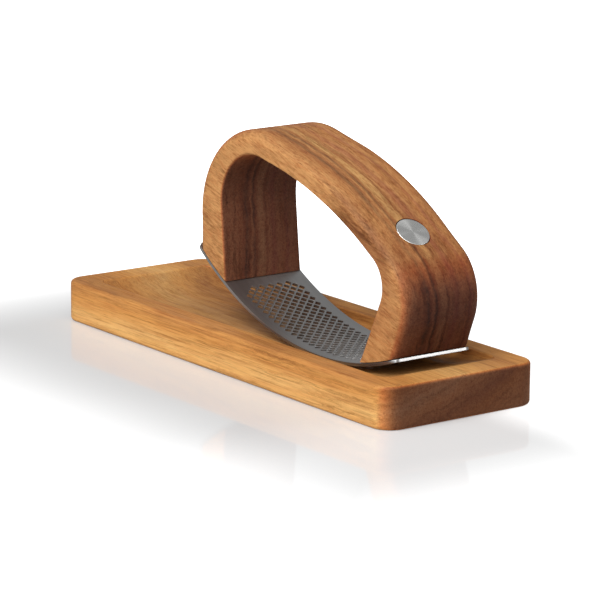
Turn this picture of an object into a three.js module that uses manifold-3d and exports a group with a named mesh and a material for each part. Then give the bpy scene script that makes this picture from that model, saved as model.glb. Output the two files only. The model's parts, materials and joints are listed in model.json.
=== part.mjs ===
// Rocking garlic press on its wooden tray.
//
// Millimetres, +Z up. The origin is the centre of the tray's underside: +X runs along the
// tray, +Y across it. The press is a loop handle of wood on a curved, perforated steel plate.
// It stands in the tray's recess, rocked a little towards +X.

import * as THREE from 'three';
import { mergeGeometries, mergeVertices } from 'three/addons/utils/BufferGeometryUtils.js';
import Module from 'manifold-3d';

const wasm = await Module();
wasm.setup();

// ---------------------------------------------------------------- driving dimensions

const GAP = 0.3; // between pieces that touch on the real object

const TRAY = {
  length: 222.5,
  width: 75,
  height: 17.2,
  cornerRadius: 9,
  edgeRound: 1.5,
};

// The recess has upright sides and a flat floor, which rises at each end along an arc and comes
// out at the tray's top a little before the end of the outline.
const RECESS = {
  length: 200,
  width: 55,
  cornerRadius: 7,
  depth: 5,
  flatLength: 133,
  rampRadius: 105,
};

// The rocking plate is part of a cylinder. Its axis is the rocking centre of the press.
const PLATE = {
  radius: 134.5, // outer face
  thickness: 1.2,
  width: 38,
  halfAngle: THREE.MathUtils.degToRad(29.55),
  cornerRadius: 3,
};

const ROCK = {
  tilt: THREE.MathUtils.degToRad(9.65), // +X end down
  contactX: 46.6, // where the plate meets the recess floor
};

// Square holes set corner to corner, in staggered columns.
const HOLES = {
  columns: 41,
  columnPitch: 2,
  rowPitch: 4.33,
  mostRows: 7,
  halfDiagonal: 1.55,
};

// Outlines of the handle, seen from the side, with the plate level: X along the chord of the
// plate and Z above its lowest point. Each corner is [x, z, radius of its round].
const HANDLE = {
  outer: [
    [-65.6, 18.0, 0],
    [-78.8, 79.8, 38],
    [20.3, 72.7, 154],
    [72.3, 47.9, 22.6],
    [65.6, 18.0, 0],
  ],
  inner: [
    [-44.7, 9.1, 0],
    [-60.3, 66.4, 22.3],
    [7.1, 67.0, 175],
    [55.9, 48.1, 12.8],
    [45.5, 8.9, 0],
  ],
  width: 38,
  outerRound: 5,
  innerRound: 1.2,
};

const BADGE = {
  x: 45.3,
  radius: 6.9,
  thickness: 1.6,
  pocketDepth: 2.2,
  chamfer: 0.3,
};

const SCREW = {
  angle: THREE.MathUtils.degToRad(24.6), // from the middle of the plate
  offset: 11, // either side of the middle plane
  headRadius: 2.9,
  headHeight: 1.5,
  shankRadius: 1.5,
  length: 13,
  tip: 2,
};

const STEPS = {
  trayCorner: 8,
  edge: 3,
  ramp: 6,
  corner: 4,
  line: 5,
  round: 9,
  badge: 40,
  screw: 16,
};

// ---------------------------------------------------------------- materials

const wood = new THREE.MeshStandardMaterial({ color: 0xb5763f, roughness: 0.5, metalness: 0 });
const trayWood = new THREE.MeshStandardMaterial({ color: 0xcf914c, roughness: 0.55, metalness: 0 });
const steel = new THREE.MeshStandardMaterial({ color: 0x8a8c8f, roughness: 0.35, metalness: 1 });
const badgeSteel = new THREE.MeshStandardMaterial({ color: 0xd0d2d2, roughness: 0.3, metalness: 1 });
const screwSteel = new THREE.MeshStandardMaterial({ color: 0x9a9c9e, roughness: 0.4, metalness: 1 });

// ---------------------------------------------------------------- solids

function toSolid(geometry) {
  const bare = new THREE.BufferGeometry();
  bare.setAttribute('position', geometry.getAttribute('position').clone());
  if (geometry.index) bare.setIndex(geometry.index.clone());
  const merged = mergeVertices(bare, 1e-4);
  return new wasm.Manifold(
    new wasm.Mesh({
      numProp: 3,
      vertProperties: new Float32Array(merged.getAttribute('position').array),
      triVerts: new Uint32Array(merged.index.array),
    }),
  );
}

function toGeometry(solid) {
  const mesh = solid.getMesh();
  const geometry = new THREE.BufferGeometry();
  geometry.setAttribute('position', new THREE.BufferAttribute(mesh.vertProperties, mesh.numProp));
  geometry.setIndex(new THREE.BufferAttribute(mesh.triVerts, 1));
  geometry.computeVertexNormals();
  return geometry;
}

function cut(geometry, tools) {
  return toGeometry(toSolid(geometry).subtract(toSolid(mergeGeometries(tools))));
}

// Skins a row of closed rings, all with the same even number of points. Each end is closed by
// a strip from the ring's first half to its second half.
function loft(rings) {
  const size = rings[0].length;
  const positions = rings.flat(2);
  const index = [];
  for (let i = 0; i + 1 < rings.length; i += 1) {
    for (let k = 0; k < size; k += 1) {
      const a = i * size + k;
      const b = i * size + ((k + 1) % size);
      index.push(a, b, b + size, a, b + size, a + size);
    }
  }
  const last = (rings.length - 1) * size;
  for (let k = 0; k + 1 < size / 2; k += 1) {
    const [a, b, c, d] = [k, k + 1, size - 2 - k, size - 1 - k];
    index.push(a, c, b, a, d, c);
    index.push(last + a, last + b, last + c, last + a, last + c, last + d);
  }
  const geometry = new THREE.BufferGeometry();
  geometry.setAttribute('position', new THREE.Float32BufferAttribute(positions, 3));
  geometry.setIndex(index);
  geometry.computeVertexNormals();
  return geometry;
}

function piece(name, geometry, material) {
  const mesh = new THREE.Mesh(geometry, material);
  mesh.name = name;
  return mesh;
}

// ---------------------------------------------------------------- tray

// The board's outline at a height, drawn in by an inset.
function trayRing(z, inset) {
  const x = TRAY.length / 2 - inset;
  const y = TRAY.width / 2 - inset;
  const radius = TRAY.cornerRadius - inset;
  const corner = [];
  for (let k = 0; k <= STEPS.trayCorner; k += 1) {
    const turn = (k / STEPS.trayCorner) * (Math.PI / 2);
    corner.push([-x + radius * (1 - Math.cos(turn)), -y + radius * (1 - Math.sin(turn)), z]);
  }
  const front = [...corner, ...corner.map(([px, py]) => [-px, py, z]).reverse()];
  const back = front.map(([px, py]) => [px, -py, z]).reverse();
  return [...front, ...back];
}

function boardGeometry() {
  const { height, edgeRound } = TRAY;
  const lower = [];
  for (let k = 0; k <= STEPS.edge; k += 1) {
    const turn = (k / STEPS.edge) * (Math.PI / 2);
    lower.push(trayRing(edgeRound * (1 - Math.cos(turn)), edgeRound * (1 - Math.sin(turn))));
  }
  const upper = lower.map((ring) => ring.map(([x, y, z]) => [x, y, height - z])).reverse();
  return loft([...lower, ...upper]);
}

// Half the width, at a distance from the middle, of an outline with rounded corners.
function halfWidth(distance, { length, width, cornerRadius }) {
  const intoCorner = Math.max(0, Math.abs(distance) - (length / 2 - cornerRadius));
  return width / 2 - cornerRadius + Math.sqrt(Math.max(0, cornerRadius ** 2 - intoCorner ** 2));
}

function recessRing(x) {
  const half = halfWidth(x, RECESS);
  const intoRamp = Math.max(0, Math.abs(x) - RECESS.flatLength / 2);
  const rise = RECESS.rampRadius - Math.sqrt(RECESS.rampRadius ** 2 - intoRamp ** 2);
  const floor = TRAY.height - RECESS.depth + rise;
  const above = TRAY.height + RECESS.depth;
  return [
    [x, half, floor],
    [x, half, above],
    [x, -half, above],
    [x, -half, floor],
  ];
}

function recessGeometry() {
  const { length, cornerRadius, flatLength } = RECESS;
  const rampLength = length / 2 - cornerRadius - flatLength / 2;
  const stations = [];
  for (let k = 0; k <= STEPS.ramp; k += 1) {
    stations.push(flatLength / 2 + (rampLength * k) / STEPS.ramp);
  }
  for (let k = 1; k <= STEPS.corner; k += 1) {
    const turn = (k / STEPS.corner) * (Math.PI / 2);
    stations.push(length / 2 - cornerRadius + cornerRadius * Math.sin(turn));
  }
  const mirrored = stations.map((x) => -x).reverse();
  return loft([...mirrored, ...stations].map(recessRing));
}

// ---------------------------------------------------------------- handle

// A polyline through the corners with each inner corner rounded to its radius.
function roundedOutline(corners) {
  const points = corners.map(([x, z]) => new THREE.Vector2(x, z));
  const outline = [points[0]];
  const addLine = (end) => {
    const start = outline[outline.length - 1];
    for (let k = 1; k <= STEPS.line; k += 1) outline.push(start.clone().lerp(end, k / STEPS.line));
  };
  for (let i = 1; i + 1 < points.length; i += 1) {
    const radius = corners[i][2];
    const back = points[i - 1].clone().sub(points[i]).normalize();
    const ahead = points[i + 1].clone().sub(points[i]).normalize();
    const halfCorner = Math.acos(back.dot(ahead)) / 2;
    const toTangent = radius / Math.tan(halfCorner);
    const centre = back
      .clone()
      .add(ahead)
      .setLength(radius / Math.sin(halfCorner))
      .add(points[i]);
    const start = points[i].clone().addScaledVector(back, toTangent);
    const sweep = Math.PI - 2 * halfCorner;
    addLine(start);
    for (let k = 1; k <= STEPS.round; k += 1) {
      outline.push(start.clone().rotateAround(centre, (-sweep * k) / STEPS.round));
    }
  }
  addLine(points[points.length - 1]);
  return outline;
}

// Half of a bar's section: [share of the way from inner to outer face, in mm, and y].
function halfSection(depth) {
  const half = HANDLE.width / 2;
  const { innerRound, outerRound } = HANDLE;
  const section = [];
  for (let k = 0; k <= 2; k += 1) {
    const turn = (k / 2) * (Math.PI / 2);
    const side = half - innerRound + innerRound * Math.sin(turn);
    section.push([innerRound - innerRound * Math.cos(turn), side]);
  }
  const flatStart = innerRound;
  const flatEnd = depth - outerRound;
  for (let k = 1; k <= 3; k += 1) section.push([flatStart + ((flatEnd - flatStart) * k) / 4, half]);
  for (let k = 0; k <= 4; k += 1) {
    const turn = (k / 4) * (Math.PI / 2);
    const side = half - outerRound + outerRound * Math.cos(turn);
    section.push([flatEnd + outerRound * Math.sin(turn), side]);
  }
  return section;
}

function handleRing(inner, outer) {
  const depth = inner.distanceTo(outer);
  const half = halfSection(depth).map(([reach, y]) => {
    const at = inner.clone().lerp(outer, reach / depth);
    return [at.x, y, at.y - PLATE.radius];
  });
  const mirrored = half.map(([x, y, z]) => [x, -y, z]).reverse();
  return [...half, ...mirrored];
}

// Moves a foot's ring onto the curve that the plate's inner face follows.
function ontoPlate(ring) {
  const seat = PLATE.radius - PLATE.thickness - GAP;
  return ring.map(([x, y, z]) => {
    const scale = seat / Math.hypot(x, z);
    return [x * scale, y, z * scale];
  });
}

function handleGeometry() {
  const inner = roundedOutline(HANDLE.inner);
  const outer = roundedOutline(HANDLE.outer);
  const rings = inner.map((point, i) => handleRing(point, outer[i]));
  rings[0] = ontoPlate(rings[0]);
  rings[rings.length - 1] = ontoPlate(rings[rings.length - 1]);
  const pocket = placeBadge(
    new THREE.CylinderGeometry(
      BADGE.radius + GAP,
      BADGE.radius + GAP,
      BADGE.pocketDepth * 2,
      STEPS.badge,
    ),
  );
  return cut(loft(rings), [pocket, ...screwTools()]);
}

// ---------------------------------------------------------------- badge

// Takes a shape made round the Y axis to the badge's place, its top facing out of the handle.
function placeBadge(geometry) {
  const [[x1, z1], [x2, z2]] = [HANDLE.outer[2], HANDLE.outer[3]];
  const slope = Math.atan2(z1 - z2, x2 - x1);
  const z = z1 - (BADGE.x - x1) * Math.tan(slope);
  geometry.rotateX(Math.PI / 2);
  geometry.rotateY(slope);
  geometry.translate(BADGE.x, 0, z - PLATE.radius);
  return geometry;
}

function badgeGeometry() {
  const { radius, thickness, chamfer } = BADGE;
  const sunk = -0.15;
  const profile = [
    [0, sunk - thickness],
    [radius, sunk - thickness],
    [radius, sunk - chamfer],
    [radius - chamfer, sunk],
    [0, sunk],
  ].map(([r, h]) => new THREE.Vector2(r, h));
  return placeBadge(new THREE.LatheGeometry(profile, STEPS.badge));
}

// ---------------------------------------------------------------- plate

function plateRing(angle) {
  const { radius, thickness, halfAngle, width, cornerRadius } = PLATE;
  const half = halfWidth(angle * radius, { length: 2 * radius * halfAngle, width, cornerRadius });
  const point = (r, y) => [r * Math.sin(angle), y, -r * Math.cos(angle)];
  return [
    point(radius, half),
    point(radius - thickness, half),
    point(radius - thickness, -half),
    point(radius, -half),
  ];
}

function rowsInColumn(column) {
  const fromEnd = Math.min(column, HOLES.columns - 1 - column);
  if (fromEnd < 2) return HOLES.mostRows - 2 + fromEnd;
  return HOLES.mostRows - (column % 2);
}

function holeTools() {
  const tools = [];
  const middle = (HOLES.columns - 1) / 2;
  for (let column = 0; column < HOLES.columns; column += 1) {
    const angle = ((column - middle) * HOLES.columnPitch) / PLATE.radius;
    const rows = rowsInColumn(column);
    for (let row = 0; row < rows; row += 1) {
      const tool = new THREE.CylinderGeometry(1, 1, PLATE.thickness * 3, 4);
      tool.scale(HOLES.halfDiagonal, 1, HOLES.halfDiagonal);
      tool.rotateX(Math.PI / 2);
      tool.translate(0, (row - (rows - 1) / 2) * HOLES.rowPitch, -PLATE.radius);
      tool.rotateY(-angle);
      tools.push(tool);
    }
  }
  return tools;
}

function plateGeometry() {
  const { halfAngle, radius, cornerRadius } = PLATE;
  const cornerAngle = cornerRadius / radius;
  const facetAngle = (2 * HOLES.columnPitch) / radius;
  const facets = Math.floor((halfAngle - cornerAngle) / facetAngle);
  const angles = [];
  for (let k = -facets; k <= facets; k += 1) angles.push(k * facetAngle);
  for (let k = 0; k <= STEPS.corner; k += 1) {
    const turn = (k / STEPS.corner) * (Math.PI / 2);
    const angle = halfAngle - cornerAngle * (1 - Math.sin(turn));
    angles.push(angle);
    angles.unshift(-angle);
  }
  return cut(loft(angles.map(plateRing)), [...holeTools(), ...screwTools()]);
}

// ---------------------------------------------------------------- screws

// A countersunk wood screw, its head's face at height 0 and its point up, grown by a margin.
function screwShape(margin) {
  const { headRadius, headHeight, shankRadius, length, tip } = SCREW;
  const profile = [
    [0, -margin],
    [headRadius + margin, -margin],
    [shankRadius + margin, headHeight],
    [shankRadius + margin, length - tip],
    [0, length + margin],
  ].map(([r, h]) => new THREE.Vector2(r, h));
  return new THREE.LatheGeometry(profile, STEPS.screw);
}

// Screws stand along the plate's radii: two in each foot.
function placeScrew(geometry, angle, y) {
  const headSunk = 0.1;
  geometry.rotateX(Math.PI / 2);
  geometry.translate(0, y, -PLATE.radius + headSunk);
  geometry.rotateY(-angle);
  return geometry;
}

const screwPlaces = [
  [-SCREW.angle, -SCREW.offset],
  [-SCREW.angle, SCREW.offset],
  [SCREW.angle, -SCREW.offset],
  [SCREW.angle, SCREW.offset],
];

function screwTools() {
  return screwPlaces.map(([angle, y]) => placeScrew(screwShape(GAP), angle, y));
}

// ---------------------------------------------------------------- assembly

function buildPress() {
  const press = new THREE.Group();
  press.add(piece('handle', handleGeometry(), wood));
  press.add(piece('rocker_plate', plateGeometry(), steel));
  press.add(piece('badge_disc', badgeGeometry(), badgeSteel));
  screwPlaces.forEach(([angle, y], i) => {
    press.add(piece(`foot_screw_${i + 1}`, placeScrew(screwShape(0), angle, y), screwSteel));
  });
  const floor = TRAY.height - RECESS.depth;
  press.position.set(ROCK.contactX, 0, floor + GAP + PLATE.radius);
  press.rotation.y = ROCK.tilt;
  return press;
}

const garlicPress = new THREE.Group();
garlicPress.add(piece('tray', cut(boardGeometry(), [recessGeometry()]), trayWood));
garlicPress.add(buildPress());

export default garlicPress;
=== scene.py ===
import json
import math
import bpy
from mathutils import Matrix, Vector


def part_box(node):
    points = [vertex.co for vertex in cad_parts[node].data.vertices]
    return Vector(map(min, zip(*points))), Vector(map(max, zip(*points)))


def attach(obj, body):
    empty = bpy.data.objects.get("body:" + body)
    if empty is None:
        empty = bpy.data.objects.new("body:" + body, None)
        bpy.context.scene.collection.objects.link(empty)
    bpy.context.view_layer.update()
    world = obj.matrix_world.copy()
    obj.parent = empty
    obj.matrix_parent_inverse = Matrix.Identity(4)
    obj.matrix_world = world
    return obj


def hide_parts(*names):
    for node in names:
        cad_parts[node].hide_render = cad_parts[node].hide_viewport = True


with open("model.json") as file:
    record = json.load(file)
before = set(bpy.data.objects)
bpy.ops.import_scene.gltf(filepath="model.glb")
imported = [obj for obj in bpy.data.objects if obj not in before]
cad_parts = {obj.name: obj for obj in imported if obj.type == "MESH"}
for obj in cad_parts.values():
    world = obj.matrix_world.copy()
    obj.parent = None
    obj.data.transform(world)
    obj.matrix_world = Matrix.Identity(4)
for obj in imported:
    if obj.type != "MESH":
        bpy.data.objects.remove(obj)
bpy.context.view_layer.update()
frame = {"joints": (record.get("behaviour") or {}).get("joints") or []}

# Rocking garlic press on its wooden tray: the visible pieces, their materials, light and camera.
# Metres, in the frame of the CAD model. The pieces of the press are built with its plate level,
# round the rocking centre, and then set down tilted in the tray.

from types import SimpleNamespace

import bmesh
import bpy
from mathutils import Matrix, Vector

MM = 0.001

# ---------------------------------------------------------------- driving dimensions

# room left between pieces that fit together
GAP = 0.3 * MM

_, tray_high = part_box("tray")
TRAY = SimpleNamespace(
    half_length=tray_high.x,
    half_width=tray_high.y,
    height=tray_high.z,
    corner=9 * MM,
    edge_round=1.5 * MM,
)

# The recess has upright sides and a flat floor, which rises at each end along an arc and comes
# out at the tray's top before the end of the outline.
RECESS = SimpleNamespace(
    half_length=100 * MM,
    half_width=27.5 * MM,
    corner=7 * MM,
    depth=5 * MM,
    flat_half=66.5 * MM,
    ramp_radius=105 * MM,
    edge_round=0.8 * MM,
    cove=1.8 * MM,
)

ROCK_CENTRE = Vector(frame["joints"][0]["pos_m"])
# how far the press is rocked at rest, with its near end down
TILT = math.radians(9.65)

PLATE = SimpleNamespace(
    radius=134.5 * MM,
    thickness=1.2 * MM,
    half_width=19 * MM,
    half_angle=math.radians(29.55),
    corner=3 * MM,
    edge_round=0.1 * MM,
)

HOLES = SimpleNamespace(
    columns=41,
    column_pitch=2 * MM,
    row_pitch=4.33 * MM,
    most_rows=7,
    half_diagonal=1.55 * MM,
    corner=0.2 * MM,
)

# Outlines of the handle from the side, in mm: [x, z above the plate's lowest point, round].
HANDLE = SimpleNamespace(
    outer=[(-65.6, 18.0, 0), (-78.8, 79.8, 38), (20.3, 72.7, 154), (72.3, 47.9, 22.6), (65.6, 18.0, 0)],
    inner=[(-44.7, 9.1, 0), (-60.3, 66.4, 22.3), (7.1, 67.0, 175), (55.9, 48.1, 12.8), (45.5, 8.9, 0)],
    half_width=19 * MM,
    outer_round=5 * MM,
    inner_round=1.2 * MM,
    edge_break=0.3 * MM,
)

BADGE = SimpleNamespace(
    x=45.3 * MM,
    radius=6.9 * MM,
    thickness=1.6 * MM,
    pocket_depth=2.2 * MM,
    sunk=0.15 * MM,
    chamfer=0.3 * MM,
)

SCREW = SimpleNamespace(
    angle=math.radians(24.6),
    offset=11 * MM,
    head_radius=2.9 * MM,
    head_height=1.5 * MM,
    thread_radius=1.5 * MM,
    core_radius=1.1 * MM,
    thread_pitch=1.3 * MM,
    length=13 * MM,
    tip=2 * MM,
    head_sunk=0.1 * MM,
    socket_arm=1.5 * MM,
    socket_width=0.55 * MM,
    socket_depth=1.0 * MM,
)

PRESS_PLACE = Matrix.Translation(ROCK_CENTRE) @ Matrix.Rotation(TILT, 4, "Y")


# ---------------------------------------------------------------- mesh helpers


# points nearer than this are one point
SAME_POINT = 1e-7


def arc(centre, radius, start, end, steps):
    """Points of an arc in a plane, both ends included. Angles in degrees."""
    turns = [math.radians(start + (end - start) * k / steps) for k in range(steps + 1)]
    return [(centre[0] + radius * math.cos(t), centre[1] + radius * math.sin(t)) for t in turns]


def add_object(name, mesh, place=None):
    item = bpy.data.objects.new(name, mesh)
    bpy.context.scene.collection.objects.link(item)
    if place is not None:
        item.matrix_world = place
    return item


def closed_mesh(name, vertices, faces):
    """A mesh from points and faces, doubled points joined and every face turned outwards."""
    mesh = bpy.data.meshes.new(name)
    mesh.from_pydata(vertices, [], faces)
    bm = bmesh.new()
    bm.from_mesh(mesh)
    bmesh.ops.remove_doubles(bm, verts=bm.verts, dist=SAME_POINT)
    bmesh.ops.recalc_face_normals(bm, faces=bm.faces)
    bm.to_mesh(mesh)
    bm.free()
    return mesh


def skin(name, rings, end_faces=()):
    """Joins each ring of points to the next, and adds the faces that close the ends."""
    size = len(rings[0])
    faces = []
    for i in range(len(rings) - 1):
        for k in range(size):
            a, b = i * size + k, i * size + (k + 1) % size
            faces.append((a, b, b + size, a + size))
    return closed_mesh(name, [point for ring in rings for point in ring], faces + list(end_faces))


def whole_ring(half):
    """A ring from its half on the +y side."""
    return half + [(x, -y, z) for x, y, z in reversed(half)]


def loft(name, rings):
    """Skins a row of rings, and closes each end by strips between the ring's two halves."""
    size = len(rings[0])
    last = (len(rings) - 1) * size
    strips = []
    for k in range(size // 2 - 1):
        strip = (k, size - 1 - k, size - 2 - k, k + 1)
        strips.append(strip)
        strips.append(tuple(last + i for i in reversed(strip)))
    return skin(name, rings, strips)


def turned_ring(radius_at, height, steps):
    """A ring about Z whose radius may change as it goes round."""
    turns = [2 * math.pi * k / steps for k in range(steps)]
    return [(radius_at(t) * math.cos(t), radius_at(t) * math.sin(t), height) for t in turns]


def lathe(name, profile, steps):
    """Turns a profile of (radius, height) about Z. Its first and last points are on the axis."""
    return skin(name, [turned_ring(lambda _: radius, height, steps) for radius, height in profile])


def apply_modifiers(item):
    depsgraph = bpy.context.evaluated_depsgraph_get()
    item.data = bpy.data.meshes.new_from_object(item.evaluated_get(depsgraph))
    item.modifiers.clear()


def cut(item, tools):
    """Subtracts the tools from an object, and removes them."""
    for tool in tools:
        modifier = item.modifiers.new("cut", "BOOLEAN")
        modifier.operation = "DIFFERENCE"
        modifier.solver = "EXACT"
        modifier.object = tool
    bpy.context.view_layer.update()
    apply_modifiers(item)
    for tool in tools:
        bpy.data.objects.remove(tool)


def break_edges(item, width, segments, sharper_than=40):
    modifier = item.modifiers.new("break", "BEVEL")
    modifier.limit_method = "ANGLE"
    modifier.angle_limit = math.radians(sharper_than)
    modifier.width = width
    modifier.segments = segments
    bpy.context.view_layer.update()
    apply_modifiers(item)


def smooth(item, sharper_than=35):
    """Smooth shading that keeps hard edges, with normals led by the large faces."""
    item.data.shade_smooth()
    item.data.set_sharp_from_angle(angle=math.radians(sharper_than))
    modifier = item.modifiers.new("normals", "WEIGHTED_NORMAL")
    modifier.keep_sharp = True
    bpy.context.view_layer.update()
    apply_modifiers(item)


# ---------------------------------------------------------------- tray


CORNER_STEPS, SIDE_STEPS = 12, 72


def outline_half(half_x, half_y, radius, from_angle=0):
    """Half of a rounded rectangle, +y: (point, outward direction) from its +x end to its -x end.

    from_angle is where the half starts on the corner's arc, in degrees from +x.
    """
    across, along = half_x - radius, half_y - radius
    points = arc((across, along), radius, from_angle, 90, CORNER_STEPS)
    corner = list(zip(points, arc((0, 0), 1, from_angle, 90, CORNER_STEPS)))
    side = [((across * (1 - 2 * k / SIDE_STEPS), half_y), (0, 1)) for k in range(1, SIDE_STEPS)]
    return corner + side + [((-x, y), (-nx, ny)) for (x, y), (nx, ny) in reversed(corner)]


def recess_floor(x):
    """Height of the recess's floor, which a ramp lifts to the tray's top at each end."""
    into_ramp = max(0.0, abs(x) - RECESS.flat_half)
    rise = RECESS.ramp_radius - math.sqrt(RECESS.ramp_radius**2 - into_ramp**2)
    return min(TRAY.height, TRAY.height - RECESS.depth + rise)


def recess_rings():
    """From the rim's edge down the side to the floor. The side fades out where the ramp ends."""
    ramp_reach = math.sqrt(2 * RECESS.ramp_radius * RECESS.depth - RECESS.depth**2)
    end = RECESS.flat_half + ramp_reach
    into_corner = end - (RECESS.half_length - RECESS.corner)
    from_angle = math.degrees(math.acos(into_corner / RECESS.corner))
    outline = outline_half(RECESS.half_length, RECESS.half_width, RECESS.corner, from_angle)
    edge, cove = arc((1, -1), 1, 90, 180, 5), arc((-1, 1), 1, 0, -90, 6)
    rings = [[] for _ in edge + cove]
    for (x, y), (nx, ny) in outline:
        floor = recess_floor(x)
        depth = TRAY.height - floor
        edge_round, cove_round = min(RECESS.edge_round, depth / 2), min(RECESS.cove, depth / 2)
        path = [(out * edge_round, TRAY.height + up * edge_round) for out, up in edge]
        path += [(out * cove_round, floor + up * cove_round) for out, up in cove]
        for ring, (out, z) in zip(rings, path):
            ring.append((x + nx * out, y + ny * out, z))
    return [whole_ring(half) for half in rings]


def tray_rings():
    """Rings from the underside, up the side, over the rim and down into the recess."""
    edge = TRAY.edge_round
    lower_edge = arc((edge, edge), edge, 270, 180, 6)
    upper_edge = arc((edge, TRAY.height - edge), edge, 180, 90, 6)
    rings = []
    for inset, z in lower_edge + upper_edge:
        outline = outline_half(TRAY.half_length - inset, TRAY.half_width - inset, TRAY.corner - inset)
        rings.append(whole_ring([(x, y, z) for (x, y), _ in outline]))
    return rings + recess_rings()


def make_tray():
    tray = add_object("tray_board", loft("tray_board", tray_rings()))
    smooth(tray)
    return tray


# ---------------------------------------------------------------- handle


def rounded_outline(corners, line_steps=8, round_steps=24):
    """A line through the corners with each inner corner rounded, as complex numbers x + iz."""
    points = [complex(x, z) * MM for x, z, _ in corners]
    outline = [points[0]]

    def add_line(end):
        start = outline[-1]
        for k in range(1, line_steps + 1):
            outline.append(start + (end - start) * k / line_steps)

    for i in range(1, len(points) - 1):
        radius = corners[i][2] * MM
        back = (points[i - 1] - points[i]) / abs(points[i - 1] - points[i])
        ahead = (points[i + 1] - points[i]) / abs(points[i + 1] - points[i])
        half_corner = math.acos(back.real * ahead.real + back.imag * ahead.imag) / 2
        bisector = (back + ahead) / abs(back + ahead)
        centre = points[i] + bisector * radius / math.sin(half_corner)
        start = points[i] + back * radius / math.tan(half_corner)
        sweep = math.pi - 2 * half_corner
        add_line(start)
        for k in range(1, round_steps + 1):
            turn = -sweep * k / round_steps
            outline.append(centre + (start - centre) * complex(math.cos(turn), math.sin(turn)))
    add_line(points[-1])
    return outline


def handle_section(depth):
    """Half of the bar's section: (reach from the inner to the outer face, y)."""
    half, small, large = HANDLE.half_width, HANDLE.inner_round, HANDLE.outer_round
    section = arc((small, half - small), small, 180, 90, 6)
    flat_steps = 6
    for k in range(1, flat_steps):
        section.append((small + (depth - large - small) * k / flat_steps, half))
    return section + arc((depth - large, half - large), large, 90, 0, 12)


def handle_ring(inner, outer):
    """The bar's section between a point of the inner outline and one of the outer outline."""
    depth = abs(outer - inner)
    half = []
    for reach, y in handle_section(depth):
        point = inner + (outer - inner) * reach / depth
        half.append((point.real, y, point.imag - PLATE.radius))
    return whole_ring(half)


def onto_plate(ring):
    """Moves a foot's ring along the plate's radii until it is a gap away from the inner face."""
    seat = PLATE.radius - PLATE.thickness - GAP
    return [(x * seat / math.hypot(x, z), y, z * seat / math.hypot(x, z)) for x, y, z in ring]


def badge_place():
    """The badge's centre on the arch, its axis out of the wood, with the plate level."""
    (x1, z1, _), (x2, z2, _) = HANDLE.outer[2:4]
    slope = math.atan2(z1 - z2, x2 - x1)
    z = z1 * MM - (BADGE.x - x1 * MM) * math.tan(slope) - PLATE.radius
    return Matrix.Translation((BADGE.x, 0, z)) @ Matrix.Rotation(slope, 4, "Y")


def screw_places():
    """Screws stand along the plate's radii, two in each foot."""
    height = -PLATE.radius + SCREW.head_sunk
    return [
        Matrix.Rotation(-angle, 4, "Y") @ Matrix.Translation((0, y, height))
        for angle in (-SCREW.angle, SCREW.angle)
        for y in (-SCREW.offset, SCREW.offset)
    ]


def screw_hole_tools():
    """Countersunk holes a little larger than the screws."""
    margin = 0.05 * MM
    profile = [
        (0, -SCREW.head_height),
        (SCREW.head_radius + margin, -SCREW.head_height),
        (SCREW.head_radius + margin, 0),
        (SCREW.thread_radius + margin, SCREW.head_height),
        (SCREW.thread_radius + margin, SCREW.length - SCREW.tip),
        (0, SCREW.length + margin),
    ]
    return [
        add_object("hole_tool", lathe("hole_tool", profile, 32), PRESS_PLACE @ place)
        for place in screw_places()
    ]


def make_handle():
    """The bent bar on its two feet, with the badge's pocket and the screws' holes cut into it."""
    inner, outer = rounded_outline(HANDLE.inner), rounded_outline(HANDLE.outer)
    rings = [handle_ring(a, b) for a, b in zip(inner, outer)]
    rings[0] = onto_plate(rings[0])
    rings[-1] = onto_plate(rings[-1])
    handle = add_object("handle_loop", loft("handle_loop", rings), PRESS_PLACE)
    pocket_radius = BADGE.radius + GAP
    pocket_profile = [
        (0, -BADGE.pocket_depth),
        (pocket_radius, -BADGE.pocket_depth),
        (pocket_radius, BADGE.pocket_depth),
        (0, BADGE.pocket_depth),
    ]
    pocket_mesh = lathe("pocket_tool", pocket_profile, 96)
    pocket = add_object("pocket_tool", pocket_mesh, PRESS_PLACE @ badge_place())
    cut(handle, [pocket] + screw_hole_tools())
    break_edges(handle, HANDLE.edge_break, 2)
    smooth(handle)
    # its place goes into the mesh, because the box of a tilted object is larger than its shape
    handle.data.transform(PRESS_PLACE)
    handle.matrix_world = Matrix.Identity(4)
    return handle


# ---------------------------------------------------------------- badge and screws


def make_badge():
    """A flat disc with a chamfered edge, let in a little below the wood's surface."""
    chamfer = BADGE.chamfer
    top = -BADGE.sunk
    profile = [(0, top - BADGE.thickness), (BADGE.radius, top - BADGE.thickness)]
    profile += arc((BADGE.radius - chamfer, top - chamfer), chamfer, 0, 90, 4)
    profile += [(BADGE.radius * share, top) for share in (0.6, 0.3, 0)]
    badge = add_object("badge", lathe("badge", profile, 96), PRESS_PLACE @ badge_place())
    smooth(badge)
    return badge


def thread_radius(height, turn):
    """Radius of the threaded shank: a ridge that climbs one pitch for each turn."""
    steepness = 1.6
    from_crest = abs(((height / SCREW.thread_pitch - turn / (2 * math.pi)) % 1) - 0.5) * 2
    rise = max(0.0, 1 - from_crest * steepness)
    fade_in = min(1.0, max(0.0, (height - SCREW.head_height) / SCREW.thread_pitch))
    body = SCREW.core_radius + (SCREW.thread_radius - SCREW.core_radius) * rise * fade_in
    return body * min(1.0, max(0.0, (SCREW.length - height) / SCREW.tip))


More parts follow.
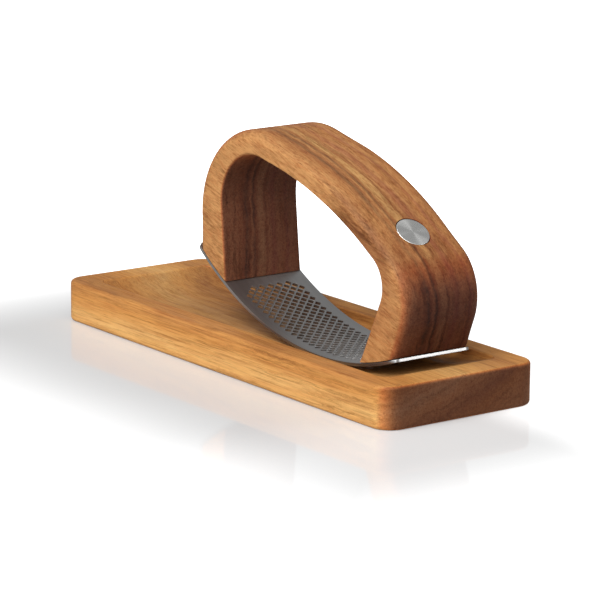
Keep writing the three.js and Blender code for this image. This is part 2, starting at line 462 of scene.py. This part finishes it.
def screw_mesh():
    """Countersunk head, with its face at 0, and threaded shank upwards from it to the tip."""
    steps, rows = 24, 72
    head_edge = 0.08 * MM
    head = [(SCREW.head_radius * share, 0.0) for share in (0, 0.5, 0.95)]
    head += [(SCREW.head_radius, head_edge), (SCREW.core_radius, SCREW.head_height)]
    rings = [turned_ring(lambda _: radius, height, steps) for radius, height in head]
    for row in range(1, rows + 1):
        height = SCREW.head_height + (SCREW.length - SCREW.head_height) * row / rows
        rings.append(turned_ring(lambda turn: thread_radius(height, turn), height, steps))
    return skin("screw", rings)


def socket_tool(place):
    """A tapered cross, for the drive in a screw's head."""
    above = 0.2 * MM
    rings = []
    for scale, z in ((1.15, -above), (1.0, 0.0), (0.55, SCREW.socket_depth)):
        arm, side = SCREW.socket_arm * scale, SCREW.socket_width * scale / 2
        half = [(arm, side), (side, side), (side, arm), (-side, arm), (-side, side), (-arm, side)]
        rings.append(whole_ring([(x, y, z) for x, y in half]))
    size = len(rings[0])
    ends = [tuple(range(size)), tuple(2 * size + k for k in reversed(range(size)))]
    return add_object("socket_tool", skin("socket_tool", rings, ends), place)


def make_screws():
    """Four screws with a cross in each head."""
    screws = []
    for i, place in enumerate(screw_places()):
        screw = add_object(f"screw_{i + 1}", screw_mesh(), PRESS_PLACE @ place)
        cut(screw, [socket_tool(PRESS_PLACE @ place)])
        smooth(screw)
        screws.append(screw)
    return screws


# ---------------------------------------------------------------- perforated plate


def rounded_polygon(corners, radius, steps):
    """A closed outline, as (x, y), with every corner rounded."""
    points = [complex(x, y) for x, y in corners]
    outline = []
    for i, corner in enumerate(points):
        back = points[i - 1] - corner
        ahead = points[(i + 1) % len(points)] - corner
        back, ahead = back / abs(back), ahead / abs(ahead)
        half_corner = math.acos(back.real * ahead.real + back.imag * ahead.imag) / 2
        bisector = (back + ahead) / abs(back + ahead)
        centre = corner + bisector * radius / math.sin(half_corner)
        start = corner + back * radius / math.tan(half_corner)
        side = 1 if (-back.real * ahead.imag + back.imag * ahead.real) > 0 else -1
        sweep = side * (math.pi - 2 * half_corner)
        for k in range(steps + 1):
            turn = sweep * k / steps
            outline.append(centre + (start - centre) * complex(math.cos(turn), math.sin(turn)))
    return [(p.real, p.imag) for p in outline]


def rows_in_column(column):
    """The most rows and one row less take turns. The first and last column have two rows less."""
    if column in (0, HOLES.columns - 1):
        return HOLES.most_rows - 2
    return HOLES.most_rows - column % 2


def hole_outlines():
    """Square holes set corner to corner, in staggered columns. X runs along the arc."""
    size = HOLES.half_diagonal
    outlines = []
    for column in range(HOLES.columns):
        x = (column - (HOLES.columns - 1) / 2) * HOLES.column_pitch
        rows = rows_in_column(column)
        for row in range(rows):
            y = (row - (rows - 1) / 2) * HOLES.row_pitch
            corners = [(x + size, y), (x, y + size), (x - size, y), (x, y - size)]
            outlines.append(rounded_polygon(corners, HOLES.corner, 2))
    return outlines


def flat_sheet():
    """The plate before it is bent: X along the arc, Z inwards from the middle of its thickness."""
    half_length = PLATE.radius * PLATE.half_angle
    width = PLATE.half_width
    corners = [(-half_length, -width), (half_length, -width), (half_length, width), (-half_length, width)]
    outlines = [rounded_polygon(corners, PLATE.corner, 10)] + hole_outlines()
    curve = bpy.data.curves.new("sheet", "CURVE")
    curve.dimensions = "2D"
    curve.fill_mode = "BOTH"
    curve.bevel_depth = PLATE.edge_round
    curve.bevel_resolution = 1
    curve.offset = -PLATE.edge_round
    curve.extrude = PLATE.thickness / 2 - PLATE.edge_round
    for outline in outlines:
        spline = curve.splines.new("POLY")
        spline.points.add(len(outline) - 1)
        for point, (x, y) in zip(spline.points, outline):
            point.co = (x, y, 0, 1)
        spline.use_cyclic_u = True
    sheet = add_object("sheet", curve)
    bpy.context.view_layer.update()
    depsgraph = bpy.context.evaluated_depsgraph_get()
    mesh = bpy.data.meshes.new_from_object(sheet.evaluated_get(depsgraph))
    bpy.data.objects.remove(sheet)
    return mesh


def make_plate():
    """Cuts the flat sheet across into narrow strips, bends it, and drills it for the screws."""
    mesh = flat_sheet()
    bm = bmesh.new()
    bm.from_mesh(mesh)
    bmesh.ops.remove_doubles(bm, verts=bm.verts, dist=SAME_POINT)
    # the strips are half a pitch wide; the offset keeps the cuts off the holes' corner points
    strip_width = HOLES.column_pitch / 2
    strips_each_way = math.ceil(PLATE.radius * PLATE.half_angle / strip_width)
    offset = 0.1 * MM
    for k in range(-strips_each_way, strips_each_way + 1):
        bmesh.ops.bisect_plane(
            bm,
            geom=bm.verts[:] + bm.edges[:] + bm.faces[:],
            dist=SAME_POINT,
            plane_co=(k * strip_width + offset, 0, 0),
            plane_no=(1, 0, 0),
        )
    for vertex in bm.verts:
        along, across, inward = vertex.co
        radius = PLATE.radius - PLATE.thickness / 2 - inward
        turn = along / PLATE.radius
        vertex.co = (radius * math.sin(turn), across, -radius * math.cos(turn))
    bmesh.ops.recalc_face_normals(bm, faces=bm.faces)
    bm.to_mesh(mesh)
    bm.free()
    plate = add_object("perforated_plate", mesh, PRESS_PLACE)
    cut(plate, screw_hole_tools())
    smooth(plate, sharper_than=30)
    return plate


# ---------------------------------------------------------------- shader helper


# nearly all of a noise lies between these
NOISE_SPAN = (0.3, 0.7)


class Shader:
    """One material, built node by node.

    Its coordinates are those of the piece, or with a tilt, measured from the rocking centre
    along axes that are turned by the tilt about Y.
    """

    def __init__(self, name, tilt=None):
        self.material = bpy.data.materials.new(name)
        self.material.use_nodes = True
        self.tree = self.material.node_tree
        self.surface = self.tree.nodes["Principled BSDF"]
        coordinates = self.tree.nodes.new("ShaderNodeTexCoord")
        self.place = coordinates.outputs["Object"]
        self.facing = coordinates.outputs["Normal"]
        if tilt is not None:
            self.place = self.turn(self.place, ROCK_CENTRE, tilt)
            self.facing = self.turn(self.facing, (0, 0, 0), tilt)

    def node(self, kind, inputs=(), **settings):
        node = self.tree.nodes.new("ShaderNode" + kind)
        for key, value in settings.items():
            setattr(node, key, value)
        for key, value in dict(inputs).items():
            self.feed(node.inputs[key], value)
        return node

    def turn(self, vector, centre, tilt):
        inputs = {"Vector": vector, "Location": centre, "Rotation": (0, tilt, 0)}
        return self.node("Mapping", inputs, vector_type="TEXTURE").outputs[0]

    def feed(self, socket, value):
        if isinstance(value, bpy.types.NodeSocket):
            self.tree.links.new(value, socket)
        else:
            socket.default_value = value

    def math(self, operation, a, b=0.0, clamp=False):
        return self.node("Math", {0: a, 1: b}, operation=operation, use_clamp=clamp).outputs[0]

    def split(self, vector):
        return self.node("SeparateXYZ", {0: vector}).outputs

    def join(self, x, y, z):
        return self.node("CombineXYZ", {0: x, 1: y, 2: z}).outputs[0]

    def stretch(self, vector, factors):
        return self.node("VectorMath", {0: vector, 1: factors}, operation="MULTIPLY").outputs[0]

    def noise(self, vector, detail=3.0, roughness=0.55):
        inputs = {"Vector": vector, "Scale": 1.0, "Detail": detail, "Roughness": roughness}
        return self.node("TexNoise", inputs).outputs["Fac"]

    def grain(self, along, across, detail=3.0, roughness=0.55):
        """Noise with so many features a metre along X, and so many across it."""
        return self.noise(self.stretch(self.place, (along, across, across)), detail, roughness)

    def fit(self, value, low, high, to_low=0.0, to_high=1.0, smooth_ends=False):
        """Maps low..high to to_low..to_high and holds it there beyond the ends."""
        kind = "SMOOTHSTEP" if smooth_ends else "LINEAR"
        inputs = {0: value, 1: low, 2: high, 3: to_low, 4: to_high}
        return self.node("MapRange", inputs, interpolation_type=kind, clamp=True).outputs[0]

    def ramp(self, value, stops):
        node = self.node("ValToRGB", {0: value})
        elements = node.color_ramp.elements
        while len(elements) < len(stops):
            elements.new(1.0)
        for element, (place, colour) in zip(elements, stops):
            element.position = place
            element.color = (*colour, 1)
        return node.outputs[0]

    def mix(self, factor, a, b, blend="MIX"):
        a, b = [(*v, 1) if isinstance(v, tuple) else v for v in (a, b)]
        node = self.node("Mix", {0: factor, 6: a, 7: b}, data_type="RGBA", blend_type=blend)
        return node.outputs[2]

    def tinted(self, colour, factor, tint):
        """The colour, multiplied by the tint as far as the factor says."""
        return self.mix(factor, colour, tint, "MULTIPLY")

    def metal(self, tone, dark, light, roughness):
        """Makes the surface metal. Where the tone is high it is lighter and rougher."""
        colour = self.mix(self.fit(tone, *NOISE_SPAN), dark, light)
        self.feed(self.surface.inputs["Base Color"], colour)
        self.feed(self.surface.inputs["Roughness"], self.fit(tone, *NOISE_SPAN, *roughness))
        self.surface.inputs["Metallic"].default_value = 1.0

    def bump(self, height, strength, distance):
        inputs = {"Strength": strength, "Distance": distance, "Height": height}
        self.feed(self.surface.inputs["Normal"], self.node("Bump", inputs).outputs[0])


# ---------------------------------------------------------------- wood


# what each feature of the wood, and the painted shade, multiplies the colour by
TINT = SimpleNamespace(
    streak=(0.42, 0.36, 0.3),
    # red inner wood, partly painted shade
    heart_and_shade=(0.52, 0.4, 0.4),
    fleck=(0.74, 0.55, 0.5),
    fibre=(0.56, 0.46, 0.4),
    pale_fibre=(1.3, 1.27, 1.2),
    pore=(0.4, 0.28, 0.24),
    # the recess, darker
    darkening=(0.76, 0.74, 0.74),
    # painted shade on faces that look up
    top_shade=(0.8, 0.79, 0.8),
    oiled_end=(0.82, 0.6, 0.6),
)


def growth_layer(s, pith, waviness):
    """Distance from the pith line in metres, with a slow wander along the fibre and a ripple."""
    _, y, z = s.split(s.place)
    across = s.math("SUBTRACT", y, pith[0])
    above = s.math("SUBTRACT", z, pith[1])
    square = s.math("ADD", s.math("MULTIPLY", across, across), s.math("MULTIPLY", above, above))
    wander = s.math("SUBTRACT", s.grain(11, 20, detail=2), 0.5)
    ripple = s.math("SUBTRACT", s.grain(40, 240, detail=5, roughness=0.7), 0.5)
    shift = s.math("MULTIPLY", wander, waviness)
    shift = s.math("ADD", shift, s.math("MULTIPLY", ripple, waviness * 0.7))
    return s.math("ADD", s.math("SQRT", square), shift)


def dark_streaks(s, layer, length):
    """Share of thin streaks that follow the layers, in patches."""
    x, _, z = s.split(s.place)
    # so many features a metre along the fibre, through the layers and up
    along, through, up = 34 / length, 620, 60
    place = s.stretch(s.join(x, layer, z), (along, through, up))
    streaks = s.fit(s.noise(place, detail=5, roughness=0.75), 0.5, 0.65)
    patches = s.fit(s.grain(16, 60, detail=2), 0.35, 0.6, 0.25, 1.0)
    return s.math("MULTIPLY", streaks, patches)


def heartwood_and_shade(s, centre, reach, unevenness):
    """Share of red inner wood, partly painted shade, in an oval zone round a centre, made ragged by the
    unevenness.
    """
    oval = (0.8, 2.0, 1.1)
    core, raggedness = 0.2 * reach, 1.5 * reach
    strongest = 0.65
    offset = s.node("VectorMath", {0: s.place, 1: centre}, operation="SUBTRACT").outputs[0]
    distance = s.node("VectorMath", {0: s.stretch(offset, oval)}, operation="LENGTH").outputs["Value"]
    ragged = s.math("MULTIPLY", s.math("SUBTRACT", unevenness, 0.5), raggedness)
    return s.fit(s.math("ADD", distance, ragged), core, reach, strongest, 0.0, smooth_ends=True)


def wood(
    name, bands, band_range, pith, waviness, figure, length, heart_and_shade_zones, end_tint, tilt=None, darkening=None
):
    """Oiled hardwood with its fibre along X.

    bands: colour stops of the growth layers, over band_range, the distances from the pith line
    in metres. pith: (y, z) of that line. waviness: how far the layers wander, in metres.
    figure: how strong the streaks and flecks are, and length: how far they are drawn out along
    the fibre. heart_and_shade_zones: centre and reach of each zone of redder, darker inner wood,
    which lies partly where shade falls, so partly painted shade. end_tint: what end grain
    multiplies by. darkening: a function of the shader that gives how much darker a place is, if any.
    """
    s = Shader(name, tilt)

    # coloured bands, which fade in and out along the fibre
    layer = growth_layer(s, pith, waviness)
    across_bands = s.fit(layer, *band_range)
    banded = s.ramp(across_bands, bands)
    plain = s.ramp(across_bands, [bands[0], bands[-1]])
    fade = s.grain(26, 130, detail=4, roughness=0.65)
    colour = s.mix(s.fit(fade, 0.4, 0.65, 0.0, 0.55), banded, plain)

    streaks = s.math("MULTIPLY", dark_streaks(s, layer, length), figure)
    colour = s.tinted(colour, streaks, TINT.streak)
    # zones of red inner wood, partly painted shade
    for centre, reach in heart_and_shade_zones:
        colour = s.tinted(colour, heartwood_and_shade(s, centre, reach, fade), TINT.heart_and_shade)

    # short and thin along the fibre, or dots where it is cut across
    flecks = s.grain(150 / length, 700, detail=4, roughness=0.75)
    colour = s.tinted(colour, s.fit(flecks, 0.45, 0.65, 0.0, 0.8 * figure), TINT.fleck)
    fibres = s.grain(170 / length, 1500, detail=4, roughness=0.7)
    colour = s.tinted(colour, s.fit(fibres, 0.47, 0.66, 0.0, 0.3 + 0.5 * figure), TINT.fibre)
    pale_fibres = s.grain(120 / length, 900, detail=3, roughness=0.7)
    colour = s.tinted(colour, s.fit(pale_fibres, 0.5, 0.7, 0.0, 0.35), TINT.pale_fibre)
    pores = s.fit(s.grain(420 / length, 3000, detail=3, roughness=0.6), 0.58, 0.68)
    colour = s.tinted(colour, s.math("MULTIPLY", pores, 0.2 + 0.4 * figure), TINT.pore)

    # the recess, darker, where the wood has one
    if darkening is not None:
        colour = s.tinted(colour, darkening(s), TINT.darkening)

    # faces that look up are darkened, as painted shade on the tops; end grain reddens with oil, then goes
    # dark
    facing_x, _, facing_z = s.split(s.facing)
    painted_top_shade = s.fit(facing_z, 0.1, 0.9, smooth_ends=True)
    colour = s.tinted(colour, painted_top_shade, TINT.top_shade)
    across_fibre = s.math("ABSOLUTE", facing_x)
    colour = s.tinted(colour, s.fit(across_fibre, 0.25, 0.6, smooth_ends=True), TINT.oiled_end)
    colour = s.tinted(colour, s.fit(across_fibre, 0.5, 1.0, smooth_ends=True), end_tint)
    s.feed(s.surface.inputs["Base Color"], colour)

    # satin oil, duller in the pores
    satin = s.fit(s.grain(60, 220), *NOISE_SPAN, 0.48, 0.62)
    roughness = s.math("ADD", satin, s.math("MULTIPLY", pores, 0.15), clamp=True)
    s.feed(s.surface.inputs["Roughness"], roughness)
    s.surface.inputs["Specular IOR Level"].default_value = 0.15
    height = s.math("SUBTRACT", s.math("MULTIPLY", fibres, 0.5), pores)
    s.bump(height, strength=0.25, distance=0.12 * MM)
    return s.material


def handle_wood():
    """Brown, striped wood. Its places are in the tilted coordinates."""
    tan, orange, brown = (0.65, 0.325, 0.12), (0.58, 0.26, 0.09), (0.46, 0.19, 0.07)
    olive, straw, red = (0.22, 0.11, 0.05), (0.74, 0.43, 0.16), (0.54, 0.22, 0.1)
    # from the front edge of the arch, at 0, to its back edge, at 1
    bands = [
        (0.0, tan),
        (0.14, tan),
        (0.22, orange),
        (0.28, brown),
        (0.31, olive),
        (0.35, brown),
        (0.38, tan),
        (0.41, olive),
        (0.44, brown),
        (0.49, straw),
        (0.54, straw),
        (0.57, brown),
        (0.6, tan),
        (0.68, red),
        (0.74, tan),
        (0.82, orange),
        (0.86, red),
        (0.9, tan),
        (1.0, orange),
    ]
    pith = (-0.25, -0.1)
    near = -pith[0] - HANDLE.half_width
    # the fibre slopes against the length of the press
    fibre_slope = math.radians(8)
    return wood(
        "handle_wood",
        bands,
        band_range=(near, near + 2 * HANDLE.half_width),
        pith=pith,
        waviness=0.006,
        figure=0.9,
        length=1,
        # the larger zone also darkens the right leg low down, where less light falls: painted shade
        heart_and_shade_zones=[((0.076, 0.003, -0.09), 0.06), ((0.054, -0.022, -0.068), 0.028)],
        end_tint=(0.32, 0.35, 0.5),
        tilt=TILT + fibre_slope,
    )


def darker_recess(s):
    """The recess, darker: under the tray's top, inside the middle line of the rim."""
    x, y, z = s.split(s.place)
    starts, full = 0.1 * MM, 0.7 * MM
    low = s.fit(z, TRAY.height - full, TRAY.height - starts, 1.0, 0.0)
    above_underside = s.math("GREATER_THAN", z, TRAY.height - 2 * RECESS.depth)
    rim_x = (RECESS.half_length + TRAY.half_length) / 2
    rim_y = (RECESS.half_width + TRAY.half_width) / 2
    in_length = s.math("LESS_THAN", s.math("ABSOLUTE", x), rim_x)
    in_width = s.math("LESS_THAN", s.math("ABSOLUTE", y), rim_y)
    inside = s.math("MULTIPLY", in_width, in_length)
    return s.math("MULTIPLY", s.math("MULTIPLY", low, above_underside), inside)


def tray_wood():
    """Honey-coloured wood with long streaks, and red inner wood about the tray's middle, partly painted
    shade round and under the press.
    """
    honey, orange = (0.84, 0.43, 0.13), (0.74, 0.34, 0.09)
    brown, pale = (0.56, 0.25, 0.08), (0.9, 0.53, 0.19)
    bands = [
        (0.0, orange),
        (0.12, honey),
        (0.2, brown),
        (0.3, orange),
        (0.42, pale),
        (0.5, honey),
        (0.6, brown),
        (0.66, orange),
        (0.8, honey),
        (0.9, pale),
        (1.0, honey),
    ]
    return wood(
        "tray_wood",
        bands,
        band_range=(0.175, 0.235),
        pith=(-0.08, 0.2),
        waviness=0.01,
        figure=0.6,
        length=4,
        # red inner wood about the middle, partly painted shade round and under the press
        heart_and_shade_zones=[((-0.01, 0.006, 0.012), 0.07)],
        end_tint=(0.28, 0.3, 0.44),
        darkening=darker_recess,
    )


# ---------------------------------------------------------------- metal


def plate_steel():
    """Satin rolled sheet, brushed along the arc."""
    s = Shader("plate_steel")
    brushing = s.noise(s.stretch(s.place, (12, 4200, 12)), roughness=0.7)
    clouds = s.noise(s.stretch(s.place, (40, 70, 40)))
    tone = s.math("ADD", s.math("MULTIPLY", brushing, 0.6), s.math("MULTIPLY", clouds, 0.4))
    s.metal(tone, (0.34, 0.34, 0.34), (0.5, 0.49, 0.48), roughness=(0.3, 0.44))
    s.bump(brushing, strength=0.12, distance=0.02 * MM)
    return s.material


def badge_steel():
    """Face turned on a lathe: fine rings round the disc's own axis."""
    s = Shader("badge_steel")
    x, y, _ = s.split(s.place)
    radius = s.math("SQRT", s.math("ADD", s.math("MULTIPLY", x, x), s.math("MULTIPLY", y, y)))
    rings = s.noise(s.join(s.math("MULTIPLY", radius, 9000), 0.0, 0.0), roughness=0.6)
    s.metal(rings, (0.72, 0.72, 0.7), (0.92, 0.92, 0.9), roughness=(0.24, 0.34))
    s.surface.inputs["Anisotropic"].default_value = 0.9
    tangent = s.node("Tangent", direction_type="RADIAL", axis="Z")
    s.feed(s.surface.inputs["Tangent"], tangent.outputs[0])
    s.bump(rings, strength=0.08, distance=0.02 * MM)
    return s.material


def screw_steel():
    """Plain bright steel with a fine, even grain."""
    s = Shader("screw_steel")
    grain = s.grain(900, 900, detail=4)
    s.metal(grain, (0.42, 0.42, 0.42), (0.6, 0.6, 0.6), roughness=(0.28, 0.45))
    s.bump(grain, strength=0.1, distance=0.02 * MM)
    return s.material


# ---------------------------------------------------------------- pieces on their bodies


def assign(piece, material, body, node):
    """Gives a piece its material, its body and the CAD node that it replaces."""
    piece.data.materials.clear()
    piece.data.materials.append(material)
    for polygon in piece.data.polygons:
        polygon.material_index = 0
    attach(piece, body)
    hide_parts(node)


assign(make_tray(), tray_wood(), "tray", "tray")
assign(make_handle(), handle_wood(), "press", "handle")
assign(make_plate(), plate_steel(), "press", "rocker_plate")
assign(make_badge(), badge_steel(), "press", "badge_disc")
screw_material = screw_steel()
for number, screw in enumerate(make_screws(), start=1):
    assign(screw, screw_material, "press", f"foot_screw_{number}")


# ---------------------------------------------------------------- floor, light and camera


def make_floor():
    """A glossy floor whose glow, for the camera only, turns it white away from the tray's front."""
    half = 3.0
    corners = [(-half, -half, 0), (half, -half, 0), (half, half, 0), (-half, half, 0)]
    mesh = bpy.data.meshes.new("floor")
    mesh.from_pydata(corners, [], [(0, 1, 2, 3)])
    floor = add_object("floor", mesh)
    s = Shader("floor")
    x, y, _ = s.split(s.place)
    beyond_end = s.math("SUBTRACT", s.math("ABSOLUTE", x), TRAY.half_length)
    beyond_side = s.math("SUBTRACT", s.math("ABSOLUTE", y), TRAY.half_width)
    away = s.math("MAXIMUM", beyond_end, beyond_side)
    glow = s.fit(away, 0.03, 0.13, 0.22, 0.9, smooth_ends=True)
    past_near_end = s.fit(x, 0.06, 0.13, 0.0, 0.12, smooth_ends=True)
    past_far_end = s.fit(x, -0.2, -0.1, 0.6, 0.0, smooth_ends=True)
    behind = s.fit(y, 0.0, 0.04, 0.0, 0.6, smooth_ends=True)
    for more in (past_near_end, past_far_end, behind):
        glow = s.math("ADD", glow, more)
    seen = s.node("LightPath").outputs["Is Camera Ray"]
    s.surface.inputs["Base Color"].default_value = (0.5, 0.5, 0.5, 1)
    s.surface.inputs["Roughness"].default_value = 0.06
    s.surface.inputs["Emission Color"].default_value = (1, 1, 1, 1)
    s.feed(s.surface.inputs["Emission Strength"], s.math("MULTIPLY", glow, seen))
    floor.data.materials.append(s.material)


def make_world():
    """A studio, brightest overhead and in front. The camera sees white, and gloss a grey room."""
    brightest = Vector((0.3, -0.7, 1)).normalized()
    # cosine of the angle off the brightest direction, where the light ends and where it peaks
    light_edge, light_core = 0.55, 1.0
    dim, bright = 0.04, 1.6
    room_level = 0.35
    world = bpy.data.worlds.new("studio")
    bpy.context.scene.world = world
    world.use_nodes = True
    nodes, links = world.node_tree.nodes, world.node_tree.links

    def math_node(operation, a, b):
        node = nodes.new("ShaderNodeMath")
        node.operation = operation
        for socket, value in zip(node.inputs, (a, b)):
            if isinstance(value, bpy.types.NodeSocket):
                links.new(value, socket)
            else:
                socket.default_value = value
        return node.outputs[0]

    facing = nodes.new("ShaderNodeVectorMath")
    facing.operation = "DOT_PRODUCT"
    facing.inputs[1].default_value = brightest
    links.new(nodes.new("ShaderNodeTexCoord").outputs["Generated"], facing.inputs[0])
    level = nodes.new("ShaderNodeMapRange")
    level.interpolation_type = "SMOOTHSTEP"
    for socket, value in zip(list(level.inputs)[1:5], (light_edge, light_core, dim, bright)):
        socket.default_value = value
    links.new(facing.outputs["Value"], level.inputs[0])
    ray = nodes.new("ShaderNodeLightPath").outputs
    room = math_node("MULTIPLY", ray["Is Glossy Ray"], room_level)
    strength = math_node("MAXIMUM", level.outputs[0], room)
    strength = math_node("MAXIMUM", strength, ray["Is Camera Ray"])
    links.new(strength, nodes["Background"].inputs["Strength"])
    nodes["Background"].inputs["Color"].default_value = (1, 1, 1, 1)


def area_light(name, place, target, size, power):
    """A rectangular lamp that looks at its target. size: its two sides. Power in watts."""
    data = bpy.data.lights.new(name, "AREA")
    data.shape = "RECTANGLE"
    data.size, data.size_y = size
    data.energy = power
    light = bpy.data.objects.new(name, data)
    bpy.context.scene.collection.objects.link(light)
    light.location = place
    light.rotation_mode = "QUATERNION"
    light.rotation_quaternion = (Vector(target) - Vector(place)).to_track_quat("-Z", "Y")


def make_camera():
    """The photo's view: a long lens, from the near right and a little above."""
    azimuth, elevation, roll = (math.radians(v) for v in (53.51, 13.30, 0.504))
    distance = 1.36
    target = Vector((0.00332, 0.00196, 0.02524))
    back = Vector(
        (
            math.sin(azimuth) * math.cos(elevation),
            -math.cos(azimuth) * math.cos(elevation),
            math.sin(elevation),
        )
    )
    data = bpy.data.cameras.new("camera")
    data.sensor_width = 36
    data.lens = 203.67
    data.clip_start, data.clip_end = 0.05, 20
    camera = bpy.data.objects.new("camera", data)
    bpy.context.scene.collection.objects.link(camera)
    camera.location = target + back * distance
    camera.rotation_mode = "QUATERNION"
    aim = (-back).to_track_quat("-Z", "Y")
    camera.rotation_quaternion = aim @ Matrix.Rotation(roll, 4, "Z").to_quaternion()
    bpy.context.scene.camera = camera


make_floor()
make_world()
area_light("key", (0.15, -0.95, 1.3), (0, 0, 0.03), (0.8, 0.7), 12)
area_light("side", (1.0, -0.8, 0.75), (0.09, 0, 0.02), (0.4, 0.35), 4.2)
area_light("glint", (0.98, 0.76, 0.42), (0.09, 0, 0.02), (0.24, 0.24), 2.2)
make_camera()
bpy.context.scene.view_settings.view_transform = "Standard"
